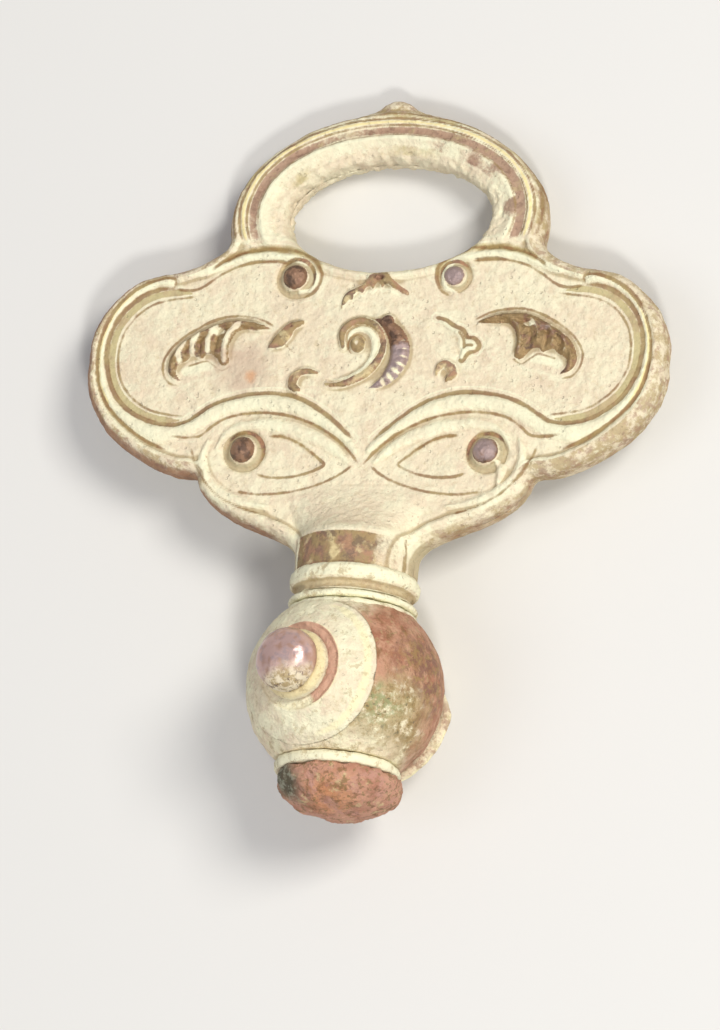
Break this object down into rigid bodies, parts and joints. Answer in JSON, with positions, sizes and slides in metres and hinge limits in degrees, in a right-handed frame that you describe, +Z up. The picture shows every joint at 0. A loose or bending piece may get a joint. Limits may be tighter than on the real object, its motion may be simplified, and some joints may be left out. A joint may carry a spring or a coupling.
{
  "type": "clock key",
  "caption": "Cast bronze clock key with an oval hanging ring, a scrollwork bow and a ball knuckle that swivels under it, its winding shank snapped off short.",
  "frame": {"origin": "on the ground under the middle of the key's outline, as the key lies on its back", "axes": "+Y along the key from the ball towards the hanging ring, +Z up out of the bow's face, +X across the bow"},
  "size_m": [0.04, 0.0492, 0.0151],
  "materials": {
    "crusted_bronze": "pale burial crust over bronze, matt",
    "bare_bronze": "red-brown bronze with green spots, dull",
    "worn_bronze": "dark purple-brown bronze, rubbed to a soft shine",
    "rusted_iron": "red-brown rust, rough"
  },
  "bodies": {
    "bow": {"bow_casting": "crusted_bronze", "neck_washer": "crusted_bronze", "inner_washer": "bare_bronze"},
    "knuckle": {"knuckle_belt": "bare_bronze", "near_cap": "crusted_bronze", "far_cap": "crusted_bronze", "cross_pin": "worn_bronze", "cup_washer": "crusted_bronze", "far_rove": "bare_bronze", "shank_ferrule": "crusted_bronze", "shank_stub": "rusted_iron"}
  },
  "joints": [
    {"name": "knuckle_swivel", "type": "hinge", "parent": "bow", "child": "knuckle", "pos_m": [0, -0.01579, 0.00647], "axis": [0, 0.9925, -0.1219], "continuous": true}
  ]
}
